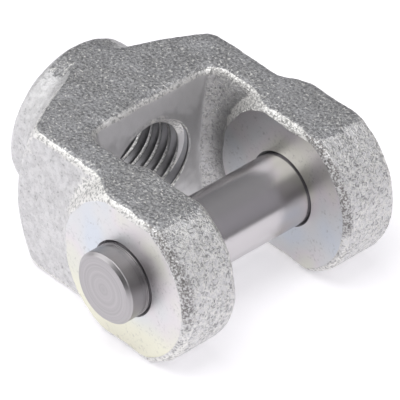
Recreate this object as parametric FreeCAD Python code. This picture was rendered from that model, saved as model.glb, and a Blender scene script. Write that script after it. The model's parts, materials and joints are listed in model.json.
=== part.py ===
import FreeCAD, Part
import math
import os

# A fork end for a tension rod: a cast fork with a threaded hub, and the plain pin through its ears.
# Millimetres. X runs along the rod's thread towards the fork's mouth, Y along the pin, Z up.
# The origin is the point where the pin's axis crosses the thread's axis.

Vector = FreeCAD.Vector
AXIS_X = Vector(1, 0, 0)
AXIS_Y = Vector(0, 1, 0)
AXIS_Z = Vector(0, 0, 1)
ORIGIN = Vector(0, 0, 0)

# Pin
pin_diameter = 18.0
pin_running_clearance = 0.08
pin_overhang = 6.0
pin_end_chamfer = 0.8
pin_groove_width = 1.3
pin_groove_depth = 0.4
pin_groove_face_gap = 0.5

# Fork ears. The crown is how far an ear's end, an arc about the pin, reaches past half the body's height.
fork_gap = 34.0
ear_thickness = 15.5
ear_end_crown = 2.0
outer_facing_diameter = 39.0
inner_facing_diameter = 40.0
facing_depth = 0.3
boss_side_angle = 32.0
pin_bore_chamfer = 0.5

# Arms and the slot between them, drafted both ways from the parting plane
body_height = 39.0
draft_angle = 6.5
arm_outer_recess = 1.8
arm_inner_recess = 0.5
web_face_distance = 25.7
web_draft_angle = 2.0
window_corner_radius = 4.0

# Hub and shoulders. The crown is how far the hub's round would stand above the flat top that cuts it.
hub_crown = 0.3
hub_back_distance = 53.5
hub_end_chamfer = 1.5
shoulder_start_distance = 45.7
shoulder_angle = 55.5
shoulder_fillet_radius = 5.0

# Rod thread, bored to its crest diameter
thread_crest_diameter = 20.75
thread_mouth_diameter = 24.8

# Cast corners and rims
shoulder_corner_radius = 4.0
boss_rim_chamfer = 1.2
top_edge_radius = 1.5

# How deep a boss sinks into its arm, and how far a cutter or the slot's core runs past the body
boss_root_depth = 1.5
overrun = 10.0
tool_clearance = 0.5
tolerance = 0.01

half_height = body_height / 2
ear_end_radius = half_height + ear_end_crown
hub_radius = half_height + hub_crown
ear_inner_face = fork_gap / 2
ear_outer_face = ear_inner_face + ear_thickness
cast_inner_face = ear_inner_face - facing_depth
cast_outer_face = ear_outer_face + facing_depth
draft_slope = math.tan(math.radians(draft_angle))
flank_at_parting = ear_outer_face - arm_outer_recess
flank_at_top = flank_at_parting - half_height * draft_slope
window_at_parting = ear_inner_face + arm_inner_recess
window_at_top = window_at_parting + half_height * draft_slope
pin_radius = pin_diameter / 2
pin_bore_radius = pin_radius + pin_running_clearance
pin_end = ear_outer_face + pin_overhang


def cylinder_along(axis, radius, start, end):
    """A round bar on an axis through the origin, from one distance along it to another."""
    return Part.makeCylinder(radius, end - start, axis * start, axis)


def cone_along(axis, start_radius, end_radius, start, end):
    return Part.makeCone(start_radius, end_radius, end - start, axis * start, axis)


def rounded(shape, radius, wanted):
    """The shape with a rounding on every edge that the test picks."""
    return shape.makeFillet(radius, [edge for edge in shape.Edges if wanted(edge)])


def heights(edge):
    return sorted(vertex.Point.z for vertex in edge.Vertexes)


def spans_half(edge):
    """True for an edge that climbs from the parting plane to the flat top."""
    low, high = heights(edge)[0], heights(edge)[-1]
    return low < tolerance and high > half_height - tolerance


def is_shoulder_corner(edge):
    """True where a shoulder's cone meets a flank."""
    behind_web = max(v.Point.x for v in edge.Vertexes) < -web_face_distance
    on_flank = min(abs(v.Point.y) for v in edge.Vertexes) > flank_at_top - tolerance
    return spans_half(edge) and behind_web and on_flank


def is_core_corner(edge, rise):
    """True where the core's web side meets one of its long sides."""
    low, high = heights(edge)[0], heights(edge)[-1]
    return high - low > rise - tolerance and max(v.Point.x for v in edge.Vertexes) < 0


def is_top_edge(edge):
    """True for an edge of the flat top."""
    return heights(edge)[0] > half_height - tolerance


def drafted_bar():
    """The arms' outer flanks, which lean in from the parting plane."""
    start = -hub_back_distance - overrun
    corners = [
        Vector(start, -flank_at_parting, 0),
        Vector(start, flank_at_parting, 0),
        Vector(start, flank_at_top, half_height),
        Vector(start, -flank_at_top, half_height),
    ]
    section = Part.Face(Part.makePolygon(corners + corners[:1]))
    return section.extrude(AXIS_X * (ear_end_radius - start))


def round_ended_side():
    """The side outline: a flat top, and an ear end that is an arc about the pin."""
    start = -hub_back_distance - overrun
    flat_end = math.sqrt(ear_end_radius ** 2 - half_height ** 2)
    half_angle = math.atan2(half_height, flat_end) / 2
    middle = Vector(math.cos(half_angle), 0, math.sin(half_angle)) * ear_end_radius
    corners = [
        Vector(flat_end, 0, half_height),
        Vector(start, 0, half_height),
        Vector(start, 0, 0),
        Vector(ear_end_radius, 0, 0),
    ]
    edges = [Part.makeLine(a, b) for a, b in zip(corners, corners[1:])]
    edges.append(Part.Arc(corners[3], middle, corners[0]).toShape())
    side = Part.Face(Part.Wire(edges))
    side.translate(-AXIS_Y * cast_outer_face)
    return side.extrude(AXIS_Y * 2 * cast_outer_face)


def hub_and_shoulders():
    """A turned form about the thread: the hub, a bend, and the cone that flares out to the shoulders.

    It is turned from below, so that the seam of its round faces stays clear of the flat top.
    """
    reach = 2 * (ear_outer_face + half_height)
    slope = math.radians(shoulder_angle)
    cone_length = (reach - hub_radius) / math.tan(slope)
    bend = shoulder_fillet_radius * math.tan(slope / 2)
    bend_start = Vector(-shoulder_start_distance - bend, 0, hub_radius)
    bend_centre = bend_start + AXIS_Z * shoulder_fillet_radius
    bend_middle, bend_end = (
        bend_centre + Vector(math.sin(turn), 0, -math.cos(turn)) * shoulder_fillet_radius
        for turn in (slope / 2, slope))
    corners = [
        bend_end,
        Vector(-shoulder_start_distance + cone_length, 0, reach),
        Vector(reach, 0, reach),
        Vector(reach, 0, 0),
        Vector(-hub_back_distance, 0, 0),
        Vector(-hub_back_distance, 0, hub_radius - hub_end_chamfer),
        Vector(-hub_back_distance + hub_end_chamfer, 0, hub_radius),
        bend_start,
    ]
    edges = [Part.makeLine(a, b) for a, b in zip(corners, corners[1:])]
    edges.append(Part.Arc(bend_start, bend_middle, bend_end).toShape())
    section = Part.Face(Part.Wire(edges))
    section.rotate(ORIGIN, AXIS_X, 180)
    return section.revolve(ORIGIN, AXIS_X, 360)


def window_core():
    """The upper half of the core that leaves the slot, wider at the top for its draft."""
    rise = half_height + overrun
    mouth_x = ear_end_radius + overrun
    web_x = -web_face_distance
    top_web_x = web_x - rise * math.tan(math.radians(web_draft_angle))
    side, top_side = window_at_parting, window_at_parting + rise * draft_slope
    core = Part.makeWedge(web_x, 0, -side, -top_side, top_web_x, mouth_x, rise, side, top_side, mouth_x)
    core.rotate(ORIGIN, AXIS_X, 90)
    return rounded(core, window_corner_radius, lambda e: is_core_corner(e, rise))


def boss_pair(face, root, outline):
    """A boss about the pin on each ear: a broken rim, then a side that slopes down to the arm."""
    rim = face + math.copysign(boss_rim_chamfer, root - face)
    root_radius = ear_end_radius + abs(rim - root) * math.tan(math.radians(boss_side_angle))
    corners = [
        Vector(0, root, 0),
        Vector(root_radius, root, 0),
        Vector(ear_end_radius, rim, 0),
        Vector(ear_end_radius - boss_rim_chamfer, face, 0),
        Vector(0, face, 0),
    ]
    section = Part.Face(Part.makePolygon(corners + corners[:1]))
    boss = section.revolve(ORIGIN, AXIS_Y, 360).common(outline)
    return [boss, boss.mirror(ORIGIN, AXIS_Y)]


def casting_half():
    """The casting above its parting plane, with its cast roundings."""
    outline = round_ended_side()
    outer_root = flank_at_top - boss_root_depth
    inner_root = window_at_top + boss_root_depth
    half = drafted_bar().common(outline).common(hub_and_shoulders())
    half = rounded(half, shoulder_corner_radius, is_shoulder_corner)
    half = half.multiFuse(boss_pair(cast_outer_face, outer_root, outline)).removeSplitter()
    half = half.cut(window_core())
    half = half.multiFuse(boss_pair(cast_inner_face, inner_root, outline)).removeSplitter()
    return rounded(half, top_edge_radius, is_top_edge)


def bore_tools(axis, radius, mouth_radius, start, end):
    """Cutters for a hole through one wall, with a 45 degree chamfer at both of its faces."""
    depth = mouth_radius - radius
    wide = mouth_radius + tool_clearance
    return [
        cylinder_along(axis, radius, start - tool_clearance, end + tool_clearance),
        cone_along(axis, wide, radius, start - tool_clearance, start + depth),
        cone_along(axis, radius, wide, end - depth, end + tool_clearance),
    ]


def facing_tools():
    """Cutters that face the four bosses about the pin."""
    outer_radius = outer_facing_diameter / 2
    return [
        cylinder_along(AXIS_Y, outer_radius, -ear_outer_face - overrun, -ear_outer_face),
        cylinder_along(AXIS_Y, outer_radius, ear_outer_face, ear_outer_face + overrun),
        cylinder_along(AXIS_Y, inner_facing_diameter / 2, -ear_inner_face, ear_inner_face),
    ]


def clevis_body():
    """The whole fork: both halves of the casting, then faced, bored and drilled for the thread."""
    half = casting_half()
    fork = half.fuse(half.mirror(ORIGIN, AXIS_Z)).removeSplitter()
    tools = facing_tools()
    mouth_radius = pin_bore_radius + pin_bore_chamfer
    for start in (-ear_outer_face, ear_inner_face):
        tools += bore_tools(AXIS_Y, pin_bore_radius, mouth_radius, start, start + ear_thickness)
    tools += bore_tools(AXIS_X, thread_crest_diameter / 2, thread_mouth_diameter / 2,
                        -hub_back_distance, -web_face_distance)
    return fork.cut(tools)


def clevis_pin():
    """A plain turned pin with a chamfer and a shallow ring groove at each end."""
    pin = cylinder_along(AXIS_Y, pin_radius, -pin_end, pin_end)
    pin = pin.makeChamfer(pin_end_chamfer, [e for e in pin.Edges if isinstance(e.Curve, Part.Circle)])
    groove_start = ear_outer_face + pin_groove_face_gap
    groove_end = groove_start + pin_groove_width
    for start, end in ((groove_start, groove_end), (-groove_end, -groove_start)):
        ring = cylinder_along(AXIS_Y, pin_radius + overrun, start, end)
        pin = pin.cut(ring.cut(cylinder_along(AXIS_Y, pin_radius - pin_groove_depth, start, end)))
    return pin


def write_part(name, shape):
    shape.exportStep("parts/" + name + ".step")
    box = shape.optimalBoundingBox(False)
    print(name, "valid", shape.isValid(), "solids", len(shape.Solids), "volume", round(shape.Volume, 1))
    print("  x", round(box.XMin, 2), round(box.XMax, 2), "y", round(box.YMin, 2), round(box.YMax, 2),
          "z", round(box.ZMin, 2), round(box.ZMax, 2))


if __name__ == "__main__":
    os.makedirs("parts", exist_ok=True)
    write_part("clevis_body", clevis_body())
    write_part("clevis_pin", clevis_pin())
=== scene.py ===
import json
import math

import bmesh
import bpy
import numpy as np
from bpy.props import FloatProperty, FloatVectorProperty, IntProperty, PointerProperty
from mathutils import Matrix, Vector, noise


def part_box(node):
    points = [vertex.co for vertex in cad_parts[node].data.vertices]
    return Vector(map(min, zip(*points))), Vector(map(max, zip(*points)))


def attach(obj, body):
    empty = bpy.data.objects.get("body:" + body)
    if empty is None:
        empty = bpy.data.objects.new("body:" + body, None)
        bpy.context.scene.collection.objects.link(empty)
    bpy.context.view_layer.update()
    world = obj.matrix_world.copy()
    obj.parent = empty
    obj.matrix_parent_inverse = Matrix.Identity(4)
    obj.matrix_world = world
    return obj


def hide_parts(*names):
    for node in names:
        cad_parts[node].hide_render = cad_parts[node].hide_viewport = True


bl_info = {
    "name": "Tension rod clevis",
    "version": (1, 0, 0),
    "blender": (4, 5, 0),
    "location": "View3D > Sidebar > Clevis",
    "description": "Dresses a cast fork end and its cross pin, and sets up a pale studio",
    "category": "Object",
}

# A cast fork end with a threaded hub, and the turned pin through its ears.
# Metres, in the frame's axes: X along the rod thread towards the fork's mouth, Y along the pin, Z up.
# The fork is cast first, as a rough skin over the whole form, and then machined by cutting tools.

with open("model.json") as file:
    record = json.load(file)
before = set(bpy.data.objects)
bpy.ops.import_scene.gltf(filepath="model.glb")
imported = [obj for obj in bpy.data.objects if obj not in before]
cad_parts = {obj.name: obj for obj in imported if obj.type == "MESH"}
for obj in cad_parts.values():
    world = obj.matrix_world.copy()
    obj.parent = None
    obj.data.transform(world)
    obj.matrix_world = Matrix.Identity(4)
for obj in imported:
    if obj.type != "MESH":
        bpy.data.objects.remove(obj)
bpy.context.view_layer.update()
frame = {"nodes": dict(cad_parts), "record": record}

fork_low, fork_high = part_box("clevis_body")
pin_low, pin_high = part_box("clevis_pin")
mounts = {mount["name"]: mount for mount in frame["record"]["mounts"]}

MM = 0.001

# Sizes that the frame gives
half_height = fork_high.z
ear_end_radius = fork_high.x
cast_outer_face = fork_high.y
hub_back = -fork_low.x
slot_half_width = mounts["plate_seat"]["dims"]["length_mm"] * MM / 2
thread_crest_radius = mounts["rod_thread"]["dims"]["r_mm"] * MM
pin_radius = pin_high.x
pin_end = pin_high.y


# Properties

def length(name, description, millimetres):
    return FloatProperty(
        name=name, description=description, default=millimetres * MM, min=0.0, unit="LENGTH", precision=6)


def angle(name, description, degrees):
    return FloatProperty(
        name=name, description=description, default=math.radians(degrees), subtype="ANGLE", unit="ROTATION")


def watts(name, description, value):
    return FloatProperty(name=name, description=description, default=value, min=0.0, unit="POWER")


def pass_count(name, description, value):
    return IntProperty(name=name, description=description, default=value, min=0, max=400)


def share(name, description, value, low=0.0, high=1.0):
    return FloatProperty(name=name, description=description, default=value, min=low, max=high)


def colour(name, description, value):
    return FloatVectorProperty(
        name=name, description=description, default=value, min=0.0, max=1.0, size=3, subtype="COLOR")


class ClevisForkSizes(bpy.types.PropertyGroup):
    """Sizes of the fork's machined features and of its cast skin."""
    facing_depth: length("Facing depth", "Metal taken off each boss when it is faced", 0.3)
    outer_facing_diameter: length("Outer facing", "Diameter of the faced disc outside each ear", 39.0)
    inner_facing_diameter: length("Inner facing", "Diameter of the faced disc inside each ear", 40.0)
    pin_clearance: length("Pin clearance", "Radial gap between the pin and its bores", 0.08)
    bore_chamfer: length("Bore chamfer", "Chamfer at both ends of each pin bore", 0.5)
    web_face_distance: length("Web face", "From the pin's axis to the slot's inner wall", 25.7)
    thread_diameter: length("Thread diameter", "Major diameter of the rod thread", 24.0)
    thread_pitch: length("Thread pitch", "From one thread turn to the next", 3.0)
    mouth_diameter: length("Thread mouth", "Diameter of the chamfer at each end of the thread", 24.8)
    skin_cell: length("Skin cell", "Size of the mesh cells of the cast skin", 0.55)
    skin_wave: length("Skin waviness", "Height of the long waves of the cast skin", 0.16)
    skin_grain: length("Skin grain", "Height of the sand grain of the cast skin", 0.09)
    skin_passes: pass_count("Skin softness", "Smoothing passes over the casting's edges", 8)
    boss_slope: share("Boss slope", "How fast a boss's side drops away from its rim", 1.2, 0.0, 5.0)
    edge_round: length("Edge rounding", "Rounding of the bosses' edges at the flat tops", 2.1)
    outer_recess: length("Outer recess", "How far the arms' flanks lie behind the outer faced discs", 1.8)
    arm_draft: angle("Arm draft", "Draft of the arms' flanks and of the slot's long walls", 6.5)
    arm_recess: length("Arm recess", "How far the slot's long walls lie behind the inner faced discs", 0.5)
    blend_passes: pass_count("Blends", "Smoothing passes where the forms flow together", 60)
    crease: angle("Crease", "Edges that turn by more than this are shaded sharp", 35.0)


class ClevisPinSizes(bpy.types.PropertyGroup):
    """Sizes of the pin's ends."""
    end_chamfer: length("End chamfer", "Chamfer at each end of the pin", 0.8)
    groove_width: length("Groove width", "Width of the ring groove beside each ear", 1.3)
    groove_depth: length("Groove depth", "Depth of the ring groove", 0.4)
    groove_gap: length("Groove gap", "From the ear's face to the groove", 0.5)
    edge_break: length("Edge break", "Rounding of the pin's turned edges", 0.12)
    centre_dish: length("Centre dish", "Hollow that turning leaves at the middle of an end face", 0.05)
    crease: angle("Crease", "Edges that turn by more than this are shaded sharp", 14.0)


class ClevisFinish(bpy.types.PropertyGroup):
    """Colours of the finishes."""
    skin: colour("Cast skin", "Zinc coated cast skin", (0.75, 0.745, 0.75))
    # The flats' dark colour is partly the coarser skin's own and partly painted shade
    flats: colour("Cast flats", "The coarser skin of the two flat sides", (0.47, 0.47, 0.48))
    pits: colour("Pits", "Dark grains in the cast skin", (0.16, 0.16, 0.16))
    ridges: colour("Ridges", "Bare bright ridges between the grains", (0.92, 0.91, 0.88))
    rim_dark: colour("Stain", "Dark grains at the rims of the bosses", (0.13, 0.115, 0.11))
    faced: colour("Faced metal", "Faced discs about the pin", (0.68, 0.68, 0.67))
    film: colour("Film", "Yellow film low on the near faced disc", (0.79, 0.78, 0.64))
    # The thread metal's dark colour is painted shade inside the thread and the bores
    bored: colour("Thread metal", "Walls of the thread and of the pin bores", (0.30, 0.30, 0.31))
    pin: colour("Pin", "Turned pin", (0.56, 0.54, 0.55))


class ClevisStudio(bpy.types.PropertyGroup):
    """The camera's place, the floor and the lamps."""
    azimuth: angle("Azimuth", "Camera's direction about the vertical, from straight along Y", 45.28)
    elevation: angle("Elevation", "Camera's height above the horizon", 38.68)
    roll: angle("Roll", "Camera's turn about its own line of sight", 2.37)
    distance: length("Distance", "From the pin's middle to the camera", 1622.0)
    lens: FloatProperty(name="Lens", description="Focal length in millimetres", default=641.7, min=1.0)
    aim_left: length("Aim left", "How far left of the pin's middle the camera aims", 6.385)
    aim_up: length("Aim up", "How far above the pin's middle the camera aims", 4.38)
    floor: colour("Floor", "Pale floor", (0.80, 0.79, 0.81))
    floor_lift: share("Floor lift", "Brightness that the camera and the metal see added to the floor", 0.56)
    key_power: watts("Key lamp", "Power of the lamp on the left", 3.6)
    ceiling_power: watts("Ceiling lamp", "Power of the lamp above", 4.5)
    side_power: watts("Side lamp", "Power of the lamp on the right", 2.1)
    sky: share("Sky", "Strength of the room's own light", 1.0, 0.0, 5.0)


# Faces of the ears before and after machining

def faced_outer_face(sizes):
    """From the middle to an ear's faced outer side."""
    return cast_outer_face - sizes.facing_depth


def cast_inner_face(sizes):
    """From the middle to an ear's inner side, as it was cast."""
    return slot_half_width - sizes.facing_depth


# Meshes

def object_from(name, mesh):
    piece = bpy.data.objects.new(name, mesh)
    bpy.context.scene.collection.objects.link(piece)
    return piece


def finished_mesh(name, form):
    mesh = bpy.data.meshes.new(name)
    form.to_mesh(mesh)
    form.free()
    return mesh


def bar(radius, start, end):
    """The outline of a plain round bar."""
    return [(start, 0.0), (start, radius), (end, radius), (end, 0.0)]


def lathe(name, profile, axis, segments=192):
    """A closed turned form: a list of (place along the axis, radius) pairs spun about X or Y."""
    form = bmesh.new()
    rings = []
    for along, radius in profile:
        count = segments if radius > 0 else 1
        ring = []
        for step in range(count):
            turn = 2 * math.pi * step / count
            a, b = radius * math.cos(turn), radius * math.sin(turn)
            ring.append(form.verts.new((along, a, b) if axis == "X" else (a, along, b)))
        rings.append(ring)
    for first, second in zip(rings, rings[1:]):
        for step in range(segments):
            after = step + 1
            corners = [first[step % len(first)], first[after % len(first)],
                       second[after % len(second)], second[step % len(second)]]
            form.faces.new(list(dict.fromkeys(corners)))
    bmesh.ops.recalc_face_normals(form, faces=form.faces)
    return finished_mesh(name, form)


def thread_tool(sizes, start, end, segments=120):
    """A closed screw form whose ridges cut the thread's grooves, with rows that follow the helix."""
    crest, root, pitch = thread_crest_radius, sizes.thread_diameter / 2, sizes.thread_pitch
    floor_end, crest_start, crest_end = pitch / 8, pitch * 7 / 16, pitch * 11 / 16
    corner = pitch / 24
    turn_profile = [
        (0.0, root - corner / 2), (corner, root), (floor_end, root), (floor_end + corner, root - corner / 2),
        (crest_start - corner, crest + corner / 2), (crest_start, crest),
        (crest_end, crest), (crest_end + corner, crest + corner / 2),
    ]
    rows = []
    place = start
    while place < end + pitch:
        rows += [(place + along, radius) for along, radius in turn_profile]
        place += pitch
    per_turn = len(turn_profile)
    form = bmesh.new()
    grid = []
    for along, radius in rows:
        ring = []
        for step in range(segments):
            turn = 2 * math.pi * step / segments
            ring.append(form.verts.new(
                (along + pitch * step / segments, radius * math.cos(turn), radius * math.sin(turn))))
        grid.append(ring)
    last = len(grid) - 1
    for row in range(last):
        lower, upper = grid[row], grid[row + 1]
        for step in range(segments - 1):
            form.faces.new((lower[step], lower[step + 1], upper[step + 1], upper[step]))
        if row + 1 + per_turn <= last:
            near, far = grid[row + per_turn], grid[row + 1 + per_turn]
            form.faces.new((lower[-1], near[0], far[0], upper[-1]))
    bottom = grid[0] + [grid[row][0] for row in range(per_turn, 0, -1)]
    seam = [grid[row][-1] for row in range(last - 1, last - per_turn - 1, -1)]
    top = grid[last] + seam
    for loop, along in ((bottom, start), (top, rows[-1][0] + pitch)):
        middle = form.verts.new((along, 0.0, 0.0))
        for first, second in zip(loop, loop[1:] + loop[:1]):
            form.faces.new((first, second, middle))
    bmesh.ops.recalc_face_normals(form, faces=form.faces)
    return finished_mesh("thread_tool", form)


def freeze(piece):
    """Puts what the piece's modifiers make into its mesh."""
    graph = bpy.context.evaluated_depsgraph_get()
    made = bpy.data.meshes.new_from_object(piece.evaluated_get(graph), depsgraph=graph)
    piece.modifiers.clear()
    piece.data = made


def cut(piece, tool_mesh, material):
    """Machines the piece with a tool. The walls that the tool leaves take the material."""
    tool_mesh.materials.append(material)
    tool = object_from("tool", tool_mesh)
    step = piece.modifiers.new("cut", "BOOLEAN")
    step.operation = "DIFFERENCE"
    step.solver = "MANIFOLD"
    step.material_mode = "TRANSFER"
    step.object = tool
    freeze(piece)
    bpy.data.objects.remove(tool)


def mark_sharp(mesh, limit):
    """Marks the edges that turn by more than a limit as sharp, so that machined edges stay crisp."""
    form = bmesh.new()
    form.from_mesh(mesh)
    for edge in form.edges:
        edge.smooth = not (edge.is_manifold and edge.calc_face_angle(0.0) > limit)
    form.to_mesh(mesh)
    form.free()


def points_of(mesh):
    points = np.empty(len(mesh.vertices) * 3)
    mesh.vertices.foreach_get("co", points)
    return points.reshape(-1, 3)


def soften(points, edges, passes, weights):
    """Moves each point towards its neighbours' middle, by its own weight at each pass."""
    count = len(points)
    one, other = edges[:, 0], edges[:, 1]
    neighbours = np.bincount(one, minlength=count) + np.bincount(other, minlength=count)
    for _ in range(passes):
        middle = np.stack([
            np.bincount(one, points[other, k], count) + np.bincount(other, points[one, k], count)
            for k in range(3)], axis=1) / neighbours[:, None]
        points = points + (middle - points) * weights[:, None]
    return points


def waves(points, cell, seed):
    """Smooth noise from -1 to 1 at each point, in cells of one size."""
    shift = Vector((seed * 17.3, seed * 5.9, seed * 11.1))
    return np.array([noise.noise(Vector(point) / cell + shift) for point in points])


def smooth_step(value, low, high):
    share_done = np.clip((value - low) / (high - low), 0.0, 1.0)
    return share_done * share_done * (3 - 2 * share_done)


# Shader maths

class Value:
    """A node's output that can stand in a Python expression."""

    def __init__(self, shader, socket):
        self.shader = shader
        self.socket = socket

    def combine(self, operation, *others):
        inputs = dict(enumerate((self, *others)))
        return self.shader.node("Math", {"operation": operation}, inputs)

    def reflected(self, operation, other):
        return self.shader.node("Math", {"operation": operation}, {0: other, 1: self})

    def __add__(self, other):
        return self.combine("ADD", other)

    def __radd__(self, other):
        return self.reflected("ADD", other)

    def __sub__(self, other):
        return self.combine("SUBTRACT", other)

    def __rsub__(self, other):
        return self.reflected("SUBTRACT", other)

    def __mul__(self, other):
        return self.combine("MULTIPLY", other)

    def __rmul__(self, other):
        return self.reflected("MULTIPLY", other)

    def __pow__(self, other):
        return self.combine("POWER", other)

    def __neg__(self):
        return self.combine("MULTIPLY", -1.0)

    def __abs__(self):
        return self.combine("ABSOLUTE")

    def larger(self, other):
        """The larger of two values."""
        return self.combine("MAXIMUM", other)


class Shader:
    """A material or a world whose nodes are written as expressions."""

    def __init__(self, owner, output="OutputMaterial"):
        self.owner = owner
        owner.use_nodes = True
        self.tree = owner.node_tree
        self.tree.nodes.clear()
        self.output = self.tree.nodes.new("ShaderNode" + output)

    def show(self, surface):
        self.tree.links.new(surface.socket, self.output.inputs["Surface"])
        return self.owner

    def node(self, kind, settings=None, inputs=None, output=0):
        """Any node: its type, its settings, the values or links of its sockets, and the output to use."""
        made = self.tree.nodes.new("ShaderNode" + kind)
        for name, value in (settings or {}).items():
            if name == "stops":
                self.set_stops(made.color_ramp.elements, value)
            else:
                setattr(made, name, value)
        for key, value in (inputs or {}).items():
            if isinstance(value, Value):
                self.tree.links.new(value.socket, made.inputs[key])
            else:
                made.inputs[key].default_value = value
        return Value(self, made.outputs[output])

    @staticmethod
    def set_stops(elements, stops):
        while len(elements) < len(stops):
            elements.new(1.0)
        for element, (place, shade) in zip(elements, stops):
            element.position = place
            element.color = (*shade, 1.0)

    def place(self):
        return self.node("TexCoord", output="Object")

    def axes(self):
        place = self.place()
        return [self.node("SeparateXYZ", inputs={0: place}, output=k) for k in range(3)]

    def facing(self, axis):
        """How squarely the surface looks along one axis, from -1 to 1."""
        return self.node("SeparateXYZ", inputs={0: self.node("TexCoord", output="Normal")}, output=axis)

    def distance_from(self, one, other):
        return (one * one + other * other) ** 0.5

    def grain(self, cell, detail=2.0, roughness=0.5, place=None):
        return self.node(
            "TexNoise", inputs={
                "Vector": place or self.place(), "Scale": 1 / cell, "Detail": detail, "Roughness": roughness})

    def lines(self, along, cell, detail=3.0):
        """Noise that changes along one direction only, as a cutting tool leaves it."""
        return self.node(
            "TexNoise", {"noise_dimensions": "1D"}, {"W": along, "Scale": 1 / cell, "Detail": detail})

    def ridges(self, cell, width, shift, detail=1.5):
        """Winding ridges, as two grains' borders: 1 on the ridge and 0 beside it."""
        place = self.node("VectorMath", {"operation": "ADD"}, {0: self.place(), 1: shift})
        return 1 - self.step(abs(self.grain(cell, detail, 0.5, place) - 0.5), 0.0, width)

    def step(self, value, low, high):
        return self.node(
            "MapRange", {"interpolation_type": "SMOOTHSTEP"},
            {"Value": value, "From Min": low, "From Max": high})

    def blend(self, factor, first, second):
        def shade(value):
            return value if isinstance(value, Value) else (*value[:3], 1.0)
        return self.node(
            "Mix", {"data_type": "RGBA"}, {0: factor, 6: shade(first), 7: shade(second)}, output=2)

    def bump(self, height, distance, strength=1.0, normal=None):
        inputs = {"Height": height, "Distance": distance, "Strength": strength}
        if normal:
            inputs["Normal"] = normal
        return self.node("Bump", inputs=inputs)

    def metal(self, base, roughness, normal, metallic=1.0):
        return self.show(self.node("BsdfPrincipled", inputs={
            "Base Color": base if isinstance(base, Value) else (*base[:3], 1.0),
            "Roughness": roughness, "Metallic": metallic, "Normal": normal}))


# Finishes

def shaded(colour_value, factor):
    """A colour made darker or lighter by a factor."""
    return [min(1.0, factor * channel) for channel in colour_value]


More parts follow.
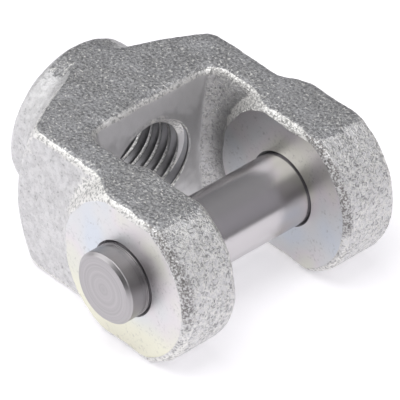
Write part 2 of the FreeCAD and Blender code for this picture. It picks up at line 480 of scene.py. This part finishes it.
def cast_skin(finish, sizes):
    """Zinc over a sand cast skin: pale and wormy, with a painted highlight along its long edges, and dark on
    the flats, partly as their own coarser skin and partly as painted shade.
    """
    shader = Shader(bpy.data.materials.new("cast_skin"))
    x, y, z = shader.axes()
    from_pin = shader.distance_from(x, z)
    across, upward = abs(shader.facing(1)), abs(shader.facing(2))
    sand = shader.grain(0.65 * MM, 3.0, 0.6)
    coarse = shader.grain(1.7 * MM, 3.0, 0.6)
    patches = shader.grain(6.0 * MM, 3.0, 0.5)
    worm_cell = 1.35 * MM
    worms = shader.ridges(worm_cell, 0.08, (3, 1, 2), 2.5)
    cracks = shader.ridges(worm_cell, 0.06, (1, 5, 7), 2.5) * shader.step(coarse, 0.38, 0.50)

    # Places: the flat sides, the slot, and its smooth inner wall with the thread's mouth
    web = sizes.web_face_distance
    slot_side = slot_half_width + 3.5 * MM
    flat = shader.step(upward + 0.14 * (sand - 0.5), 0.86, 0.90)
    forward = shader.facing(0) * shader.step(-x, web - 5.7 * MM, web - 3.7 * MM)
    in_mouth = shader.step(-x, web + 0.3 * MM, web + 0.5 * MM) * shader.step(forward, 0.50, 0.60)
    milled = in_mouth.larger(shader.step(forward, 0.90, 0.96))
    in_slot = 1 - shader.step(abs(y), slot_side, slot_side + 1.5 * MM)
    in_slot = in_slot * shader.step(x, -web - 0.5 * MM, -web - 0.1 * MM)
    # Painted shade in the slot's valleys behind the pin, at the bosses' roots
    painted_valley_shade = in_slot * shader.step(-x, 8 * MM, 14 * MM)
    painted_valley_shade = painted_valley_shade * (1 - shader.step(from_pin + 3 * MM * coarse, 23 * MM, 28 * MM))
    on_ears = 0.15 + 0.85 * shader.step(x, 6 * MM, 13 * MM)
    wormy = on_ears.larger(in_slot * 0.75) * (1 - milled)

    # The pale skin of the drafted sides, the ear ends and the slot
    pits = shader.step(sand, 0.54, 0.68)
    mottled = shader.step(coarse + 0.5 * (patches - 0.5), 0.36, 0.64) * (0.48 - 0.28 * wormy)
    pale = shader.blend(mottled, finish.skin, shaded(finish.skin, 0.72))
    pale = shader.blend(wormy * cracks * 0.65, pale, finish.pits)
    pale = shader.blend(pits * (0.12 + 0.30 * shader.step(coarse, 0.45, 0.6)), pale, finish.pits)
    pale = shader.blend(wormy * worms * 0.70, pale, finish.ridges)
    # Painted shade: the slot's valleys at the bosses' roots darkened with the pits' colour
    pale = shader.blend(painted_valley_shade * 0.6, pale, finish.pits)
    pale = shader.blend(milled * 0.9, pale, shaded(finish.skin, 0.76))
    pale = shader.blend(in_mouth, pale, finish.skin)

    # The coarse dark skin of the flat sides, with sparks of bare zinc. Its dark tone is partly the skin's own
    # and partly painted shade on the flats
    flat_skin_and_shade = shader.blend(shader.step(sand + 0.4 * (patches - 0.5), 0.32, 0.66),
                        shaded(finish.flats, 1.25), shaded(finish.flats, 0.55))
    flat_skin_and_shade = shader.blend(worms * shader.step(patches, 0.40, 0.60) * 0.30, flat_skin_and_shade, finish.ridges)
    flat_skin_and_shade = shader.blend(cracks * 0.35, flat_skin_and_shade, finish.pits)
    sparks = shader.step(shader.grain(0.7 * MM, 1.0, 0.5), 0.63, 0.70)
    flat_skin_and_shade = shader.blend(sparks * 0.8, flat_skin_and_shade, finish.ridges)

    # A painted highlight, grainy, on the edges between the two, from the fork's mouth to the hub
    sideways = shader.step(across.larger(forward), 0.15, 0.30)
    edge = shader.step(upward, 0.16, 0.30) * sideways * (1 - flat) * shader.step(x, -46 * MM, -42 * MM)
    painted_edge_highlight = shader.blend(shader.step(sand, 0.46, 0.62) * 0.60, finish.ridges, finish.pits)
    base = shader.blend(edge * 0.85, pale, painted_edge_highlight)
    base = shader.blend(flat, base, flat_skin_and_shade)

    # Dark speckles at the bosses' rims, on the ears' upper ends
    facing_radius = sizes.outer_facing_diameter / 2
    inner_face = cast_inner_face(sizes)
    rim = shader.step(from_pin, facing_radius + 0.05 * MM, facing_radius + 0.4 * MM)
    upper_end = shader.step(z + 5 * MM * coarse, -1 * MM, 5 * MM) * shader.step(x, 2 * MM, 7 * MM)
    near_rim = shader.step(-y + 3.0 * MM * coarse, cast_outer_face - 1.6 * MM, cast_outer_face - 0.1 * MM)
    far_rim = shader.step(y, inner_face - 0.2 * MM, inner_face + 0.2 * MM)
    far_rim = far_rim * (1 - shader.step(y + 1.2 * MM * coarse, inner_face + 2 * MM, inner_face + 3 * MM))
    darkened_rim = rim * upper_end * (1 - flat) * near_rim.larger(far_rim)
    fine = shader.grain(0.5 * MM, 2.0, 0.6)
    speckle = shader.blend(shader.step(fine, 0.40, 0.58), finish.skin, finish.rim_dark)
    base = shader.blend(darkened_rim * 0.72, base, speckle)

    as_cast = 1 - 0.85 * milled
    roughness = 0.48 + 0.18 * sand - 0.12 * edge
    normal = shader.bump(coarse * as_cast, 0.22 * MM, 0.6)
    normal = shader.bump(sand * as_cast, 0.22 * MM, 0.9, normal)
    normal = shader.bump((worms - cracks) * wormy, 0.18 * MM, 0.7, normal)
    return shader.metal(base, roughness, normal, metallic=0.85)


def faced_metal(finish):
    """Bosses faced on a lathe: fine rings about the pin, and a passivated zinc's faint colours."""
    shader = Shader(bpy.data.materials.new("faced_metal"))
    x, y, z = shader.axes()
    rings = shader.lines(shader.distance_from(x, z), 0.30 * MM)
    clouds = shader.grain(15 * MM, 1.5, 0.5)
    tint = shader.node("ValToRGB", {"stops": [
        (0.34, (0.60, 0.66, 0.75)), (0.46, (0.67, 0.68, 0.70)),
        (0.54, (0.72, 0.67, 0.70)), (0.66, (0.72, 0.72, 0.62))]}, {"Fac": clouds})
    base = shader.blend(0.6, finish.faced, tint)
    yellowed = shader.step(-z, 5 * MM, 13 * MM) * shader.step(-y, 20 * MM, 25 * MM)
    base = shader.blend(yellowed * 0.85, base, finish.film)
    mottle = shader.grain(0.9 * MM, 3.0, 0.6)
    scuffs = shader.grain(2.6 * MM, 4.0, 0.65)
    base = shader.blend(shader.step(mottle, 0.50, 0.70) * shader.step(scuffs, 0.45, 0.62) * 0.45,
                        base, shaded(finish.faced, 0.5))
    roughness = 0.36 + 0.12 * mottle
    normal = shader.bump(rings, 0.012 * MM, 0.15)
    normal = shader.bump(mottle, 0.025 * MM, 0.6, normal)
    return shader.metal(base, roughness, normal)


def bored_metal(finish):
    """Cut thread and bore walls, dull and a little mottled, coloured dark as painted shade inside them."""
    shader = Shader(bpy.data.materials.new("bored_metal"))
    mottle = shader.grain(1.2 * MM, 3.0, 0.6)
    # The dark base is painted shade inside the thread and the bores
    base = shader.blend(mottle, shaded(finish.bored, 0.8), shaded(finish.bored, 1.2))
    normal = shader.bump(mottle, 0.03 * MM, 0.5)
    return shader.metal(base, 0.32 + 0.15 * mottle, normal)


def turned_pin(finish):
    """Turned bar: fine rings round it, rougher and with a painted dark reflection where it stands out, and
    broader rings on its end faces.
    """
    shader = Shader(bpy.data.materials.new("turned_pin"))
    x, y, z = shader.axes()
    radius = shader.distance_from(x, z)
    at_end = shader.step(abs(y), pin_end - 0.95 * MM, pin_end - 0.75 * MM)
    barrel = shader.lines(y, 0.22 * MM)
    face = shader.lines(radius, 0.8 * MM)
    marks = barrel * (1 - at_end) + face * at_end
    clouds = shader.grain(9 * MM, 2.0, 0.5)
    base = shader.blend(clouds, shaded(finish.pin, 0.94), shaded(finish.pin, 1.04))
    # Where the pin stands out of the ears: a painted dark reflection and a rougher turn
    outside = shader.step(abs(y), cast_outer_face - 0.3 * MM, cast_outer_face) * (1 - at_end)
    face_rings = 0.42 + 0.28 * shader.step(face, 0.30, 0.70)
    base = shader.blend(at_end * face_rings, base, shaded(finish.pin, 0.60))
    # Painted dark reflection on the barrel where it stands out
    base = shader.blend(outside * 0.7, base, shaded(finish.pin, 0.42))
    normal = shader.bump(marks, 0.012 * MM, 0.6)
    streaks = shader.grain(2.2 * MM, 2.0, 0.5)
    roughness = 0.17 + 0.06 * marks + 0.05 * streaks + 0.17 * at_end + 0.13 * outside
    return shader.metal(base, roughness, normal)


# Fork

def plug_meshes(sizes):
    """Discs and bars that fill the machined holes and pockets, as the casting had them."""
    outer_face, inner_face = faced_outer_face(sizes), cast_inner_face(sizes)
    bore = pin_radius + sizes.pin_clearance + 2 * sizes.bore_chamfer
    sink, overlap, sides = 1.0 * MM, 0.1 * MM, 96
    outer = sizes.outer_facing_diameter / 2 + overlap
    inner = sizes.inner_facing_diameter / 2 + overlap
    plugs = []
    for side in (-1, 1):
        for radius, a, b in (
                (bore, slot_half_width - overlap, outer_face + overlap),
                (outer, outer_face - sink, cast_outer_face),
                (inner, inner_face, slot_half_width + sink)):
            low, high = sorted((side * a, side * b))
            plugs.append(lathe("plug", bar(radius, low, high), "Y", sides))
    mouth = sizes.mouth_diameter / 2 + 2 * overlap
    plugs.append(lathe("plug", bar(mouth, -hub_back, -sizes.web_face_distance), "X", sides))
    return plugs


def blended_places(points):
    """How softly the casting flows: fully at the bosses' roots, and a little at the edges of the flats."""
    x, y, z = np.abs(points.T)
    top_edge = smooth_step(z, half_height - 4.5 * MM, half_height - 2.5 * MM)
    from_pin = np.hypot(x, z)
    root = smooth_step(from_pin, ear_end_radius - 1.5 * MM, ear_end_radius + 0.5 * MM)
    outside = smooth_step(y, 22 * MM, 24 * MM)
    behind = smooth_step(-points[:, 0], 2 * MM, 6 * MM)
    before_shoulder = 1 - smooth_step(from_pin, 29 * MM, 33 * MM)
    return np.maximum(0.03 * top_edge, root * outside * behind * before_shoulder * (1 - top_edge))


def slope_bosses(points, sizes):
    """Rounds the bosses' top edges, and slopes their sides down to the arms behind the pin."""
    x, y, z = points.T
    from_pin, distance = np.hypot(x, z), np.abs(y)
    behind = 1 - smooth_step(x, -3 * MM, 3 * MM)
    drop = sizes.boss_slope * behind
    rise = np.abs(z) * math.tan(sizes.arm_draft)

    into_round = np.maximum(0, np.abs(z) - half_height + sizes.edge_round)
    rounding = sizes.edge_round - np.sqrt(np.maximum(0, sizes.edge_round ** 2 - into_round ** 2))

    past_rim = np.maximum(0, from_pin - sizes.outer_facing_diameter / 2)
    flank = faced_outer_face(sizes) - sizes.outer_recess - rise
    outer = np.minimum(distance, np.maximum(cast_outer_face - drop * past_rim, flank))
    outer = np.minimum(outer, cast_outer_face - rounding)

    past_rim = np.maximum(0, from_pin - sizes.inner_facing_diameter / 2)
    wall = slot_half_width + sizes.arm_recess + rise
    inner_face = cast_inner_face(sizes)
    inner = np.maximum(distance, np.minimum(inner_face + drop * past_rim, wall))
    inner = np.maximum(inner, inner_face + rounding)

    middle = slot_half_width + 6 * MM
    slot_corner = 4 * MM
    in_arm = (distance > slot_half_width - MM) & (x > slot_corner - sizes.web_face_distance)
    points = points.copy()
    points[:, 1] = np.sign(y) * np.where(distance > middle, outer, np.where(in_arm, inner, distance))
    return points


def cast_blank(sizes):
    """The casting before machining, in small even cells, with softened edges and a grainy skin."""
    form = bmesh.new()
    form.from_mesh(frame["nodes"]["clevis_body"].data)
    bmesh.ops.remove_doubles(form, verts=form.verts, dist=0.001 * MM)
    for plug in plug_meshes(sizes):
        form.from_mesh(plug)
        bpy.data.meshes.remove(plug)
    blank = object_from("cast_fork", finished_mesh("cast_fork", form))
    cells = blank.modifiers.new("cells", "REMESH")
    cells.mode = "VOXEL"
    cells.voxel_size = sizes.skin_cell
    freeze(blank)

    mesh = blank.data
    points = points_of(mesh)
    edges = np.empty(len(mesh.edges) * 2, dtype=np.int64)
    mesh.edges.foreach_get("vertices", edges)
    edges = edges.reshape(-1, 2)
    points = slope_bosses(points, sizes)
    points = soften(points, edges, sizes.skin_passes, np.full(len(points), 0.5))
    points = soften(points, edges, sizes.blend_passes, 0.5 * blended_places(points))
    normals = np.empty(len(points) * 3)
    mesh.vertices.foreach_get("normal", normals)
    normals = normals.reshape(-1, 3)
    wave_cell, grain_cell, fine_cell = 8 * MM, 2.4 * MM, 1.3 * MM
    sunk = 0.3 * sizes.skin_wave
    height = sizes.skin_wave * waves(points, wave_cell, 1)
    height += sizes.skin_grain * (waves(points, grain_cell, 2) + 0.7 * waves(points, fine_cell, 3))
    points = points + normals * (height - sunk)[:, None]
    points = np.clip(points, np.array(fork_low), np.array(fork_high))
    mesh.vertices.foreach_set("co", points.ravel())
    mesh.update()
    return blank


def machine(fork, sizes, finish):
    """Faces the bosses, bores the ears and cuts the thread."""
    faced, bored, skin = faced_metal(finish), bored_metal(finish), fork.data.materials[0]
    outer_face = faced_outer_face(sizes)
    past = cast_outer_face + 2.0 * MM
    outer, inner = sizes.outer_facing_diameter / 2, sizes.inner_facing_diameter / 2
    for radius, low, high in (
            (outer, -past, -outer_face),
            (outer, outer_face, past),
            (inner, -slot_half_width, slot_half_width)):
        cut(fork, lathe("facing", bar(radius, low, high), "Y"), faced)

    bore, chamfer, run_out = pin_radius + sizes.pin_clearance, sizes.bore_chamfer, 0.5 * MM
    wide = bore + chamfer + run_out
    half = [(slot_half_width - run_out, wide), (slot_half_width + chamfer, bore),
            (outer_face - chamfer, bore), (outer_face + run_out, wide), (outer_face + run_out, 0.0)]
    profile = [(-along, radius) for along, radius in reversed(half)] + half
    cut(fork, lathe("bores", profile, "Y"), bored)

    depth = sizes.mouth_diameter / 2 - thread_crest_radius
    wide = sizes.mouth_diameter / 2 + run_out
    back, front, pitch = -hub_back, -sizes.web_face_distance, sizes.thread_pitch
    profile = [(back - run_out, 0.0), (back - run_out, wide), (back + depth, thread_crest_radius),
               (front - depth, thread_crest_radius), (front + run_out, wide), (front + run_out, 0.0)]
    cut(fork, lathe("mouths", profile, "X"), skin)
    cut(fork, thread_tool(sizes, back - 2 * pitch, front + pitch), bored)


# Pin

def pin_profile(sizes, face_distance):
    """Half of the pin's outline from its middle to one end, with broken edges."""
    soft = sizes.edge_break
    start = face_distance + sizes.groove_gap
    end = start + sizes.groove_width
    floor = pin_radius - sizes.groove_depth
    chamfer = sizes.end_chamfer
    profile = [(0.0, pin_radius)]
    profile += [(share_out * face_distance, pin_radius) for share_out in (0.25, 0.5, 0.75, 1.0)]
    profile += [
        (start - soft, pin_radius), (start - soft / 3, pin_radius - soft / 3), (start, pin_radius - soft),
        (start, floor + soft), (start + soft / 3, floor + soft / 3), (start + soft, floor),
        (end - soft, floor), (end - soft / 3, floor + soft / 3), (end, floor + soft),
        (end, pin_radius - soft), (end + soft / 3, pin_radius - soft / 3), (end + soft, pin_radius),
        (pin_end - chamfer - soft, pin_radius), (pin_end - chamfer, pin_radius - soft / 3),
        (pin_end - soft / 3, pin_radius - chamfer), (pin_end, pin_radius - chamfer - soft),
    ]
    rings, dish_radius = 12, 1.5 * MM
    for ring in range(rings - 1, -1, -1):
        radius = (pin_radius - chamfer - soft) * ring / rings
        dish = sizes.centre_dish * math.exp(-(radius / dish_radius) ** 2)
        profile.append((pin_end - dish, radius))
    return profile


# Operators

class ClevisMakeFork(bpy.types.Operator):
    """Casts and machines the fork"""
    bl_idname = "clevis.make_fork"
    bl_label = "Make the fork"

    def execute(self, context):
        scene = context.scene
        fork = cast_blank(scene.clevis_fork)
        fork.data.materials.append(cast_skin(scene.clevis_finish, scene.clevis_fork))
        machine(fork, scene.clevis_fork, scene.clevis_finish)
        # The faced discs and the other large flat faces are shaded flat, and the small faces smooth
        faced = fork.data.materials.find("faced_metal")
        widest_curved = 8 * MM * MM
        fork.data.polygons.foreach_set("use_smooth", [
            face.material_index != faced and face.area < widest_curved for face in fork.data.polygons])
        mark_sharp(fork.data, scene.clevis_fork.crease)
        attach(fork, "clevis_body")
        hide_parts("clevis_body")
        return {"FINISHED"}


class ClevisMakePin(bpy.types.Operator):
    """Turns the cross pin"""
    bl_idname = "clevis.make_pin"
    bl_label = "Make the pin"

    def execute(self, context):
        scene = context.scene
        half = pin_profile(scene.clevis_pin, faced_outer_face(scene.clevis_fork))
        profile = [(-along, radius) for along, radius in reversed(half[1:])] + half
        mesh = lathe("cross_pin", profile, "Y")
        mesh.materials.append(turned_pin(scene.clevis_finish))
        mesh.polygons.foreach_set("use_smooth", [True] * len(mesh.polygons))
        pin = object_from("cross_pin", mesh)
        mark_sharp(mesh, scene.clevis_pin.crease)
        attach(pin, "clevis_pin")
        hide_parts("clevis_pin")
        return {"FINISHED"}


class ClevisSetStage(bpy.types.Operator):
    """Sets the floor, the light and the camera"""
    bl_idname = "clevis.set_stage"
    bl_label = "Set the stage"

    def execute(self, context):
        studio = context.scene.clevis_studio
        lay_floor(studio)
        light_room(studio)
        aim_camera(studio)
        context.scene.view_settings.view_transform = "Standard"
        return {"FINISHED"}


def lay_floor(studio):
    """A pale floor. What the camera and the metal see of it is lifted towards white, and its shadow stays."""
    shader = Shader(bpy.data.materials.new("floor"))
    plain = shader.node("BsdfDiffuse", inputs={"Color": (*studio.floor, 1.0)})
    rays = [shader.node("LightPath", output=name) for name in (
        "Is Camera Ray", "Is Glossy Ray", "Is Transmission Ray")]
    lift = shader.node("Emission", inputs={
        "Color": (*studio.floor, 1.0), "Strength": (rays[0] + rays[1] + rays[2]) * studio.floor_lift})
    shader.show(shader.node("AddShader", inputs={0: plain, 1: lift}))
    side = 0.6
    gap = 0.05 * MM
    depth = half_height + gap
    mesh = bpy.data.meshes.new("floor")
    corners = [(-side, -side), (side, -side), (side, side), (-side, side)]
    mesh.from_pydata([(x, y, -depth) for x, y in corners], [], [(0, 1, 2, 3)])
    mesh.materials.append(shader.owner)
    object_from("floor", mesh)


def towards(azimuth, elevation):
    """The unit vector that points away from the object in one direction, given in degrees."""
    azimuth, elevation = math.radians(azimuth), math.radians(elevation)
    flat = math.cos(elevation)
    return Vector((math.sin(azimuth) * flat, -math.cos(azimuth) * flat, math.sin(elevation)))


def add_lamp(name, azimuth, elevation, size, watts):
    """A rectangular lamp a metre away that faces the object from one direction."""
    lamp = bpy.data.lights.new(name, "AREA")
    lamp.shape = "RECTANGLE"
    lamp.size, lamp.size_y = size
    lamp.energy = watts
    holder = bpy.data.objects.new(name, lamp)
    bpy.context.scene.collection.objects.link(holder)
    holder.location = towards(azimuth, elevation)
    holder.rotation_euler = holder.location.to_track_quat("Z", "Y").to_euler()


def light_room(studio):
    """A dim room, darkest at the horizon and front right and paler at the right, and three large lamps."""
    world = bpy.data.worlds.new("room")
    bpy.context.scene.world = world
    shader = Shader(world, "OutputWorld")
    place = shader.node("TexCoord", output="Generated")
    height = shader.node("SeparateXYZ", inputs={0: place}, output="Z")
    shade = shader.node("ValToRGB", {"stops": [
        (0.0, (0.03, 0.03, 0.03)), (0.07, (0.12, 0.12, 0.12)), (0.16, (0.24, 0.24, 0.25)),
        (0.55, (0.30, 0.30, 0.31)), (1.0, (0.42, 0.42, 0.43))]}, {"Fac": height})
    for direction, low, high, colour_there in (
            (towards(50, 14), 0.55, 0.90, (0.02, 0.02, 0.02)),
            (towards(105, 35), 0.70, 0.95, (0.40, 0.39, 0.42))):
        facing = shader.node(
            "VectorMath", {"operation": "DOT_PRODUCT"}, {0: place, 1: direction}, output="Value")
        shade = shader.blend(shader.step(facing, low, high), shade, colour_there)
    room = shader.node("Background", inputs={"Color": shade, "Strength": studio.sky})
    behind = shader.node("Background", inputs={"Color": (1.0, 1.0, 1.0, 1.0)})
    camera_ray = shader.node("LightPath", output="Is Camera Ray")
    shader.show(shader.node("MixShader", inputs={0: camera_ray, 1: room, 2: behind}))
    add_lamp("key", -50, 30, (0.8, 0.9), studio.key_power)
    add_lamp("ceiling", 0, 78, (0.7, 0.7), studio.ceiling_power)
    add_lamp("side", 88, 45, (0.6, 0.6), studio.side_power)


def aim_camera(studio):
    """Stands the camera where the photograph was taken from."""
    back = towards(math.degrees(studio.azimuth), math.degrees(studio.elevation))
    right = (-back).cross(Vector((0, 0, 1))).normalized()
    up = right.cross(-back)
    tilt = Matrix.Rotation(studio.roll, 3, back)
    right, up = tilt @ right, tilt @ up
    place = back * studio.distance
    target = up * studio.aim_up - right * studio.aim_left
    away = (place - target).normalized()
    right = up.cross(away).normalized()
    up = away.cross(right)
    data = bpy.data.cameras.new("camera")
    data.lens = studio.lens
    data.sensor_width = 36.0
    data.clip_start, data.clip_end = 0.05, 20.0
    camera = bpy.data.objects.new("camera", data)
    bpy.context.scene.collection.objects.link(camera)
    turn = Matrix((right, up, away)).transposed().to_4x4()
    camera.matrix_world = Matrix.Translation(place) @ turn
    bpy.context.scene.camera = camera


class ClevisPanel(bpy.types.Panel):
    """Lists the pieces and the stage"""
    bl_idname = "VIEW3D_PT_clevis"
    bl_label = "Tension rod clevis"
    bl_space_type = "VIEW_3D"
    bl_region_type = "UI"
    bl_category = "Clevis"

    def draw(self, context):
        groups = (
            (ClevisMakeFork, context.scene.clevis_fork),
            (ClevisMakePin, context.scene.clevis_pin),
            (ClevisSetStage, context.scene.clevis_studio),
        )
        for operator, group in groups:
            box = self.layout.box()
            box.operator(operator.bl_idname)
            for name in group.__annotations__:
                box.prop(group, name)
        for name in context.scene.clevis_finish.__annotations__:
            self.layout.prop(context.scene.clevis_finish, name)


classes = (
    ClevisForkSizes, ClevisPinSizes, ClevisFinish, ClevisStudio,
    ClevisMakeFork, ClevisMakePin, ClevisSetStage, ClevisPanel,
)


def register():
    for part in classes:
        bpy.utils.register_class(part)
    bpy.types.Scene.clevis_fork = PointerProperty(type=ClevisForkSizes)
    bpy.types.Scene.clevis_pin = PointerProperty(type=ClevisPinSizes)
    bpy.types.Scene.clevis_finish = PointerProperty(type=ClevisFinish)
    bpy.types.Scene.clevis_studio = PointerProperty(type=ClevisStudio)


def unregister():
    for name in ("clevis_fork", "clevis_pin", "clevis_finish", "clevis_studio"):
        delattr(bpy.types.Scene, name)
    for part in reversed(classes):
        bpy.utils.unregister_class(part)


def main():
    register()
    bpy.ops.clevis.make_fork()
    bpy.ops.clevis.make_pin()
    bpy.ops.clevis.set_stage()


if __name__ == "__main__":
    main()
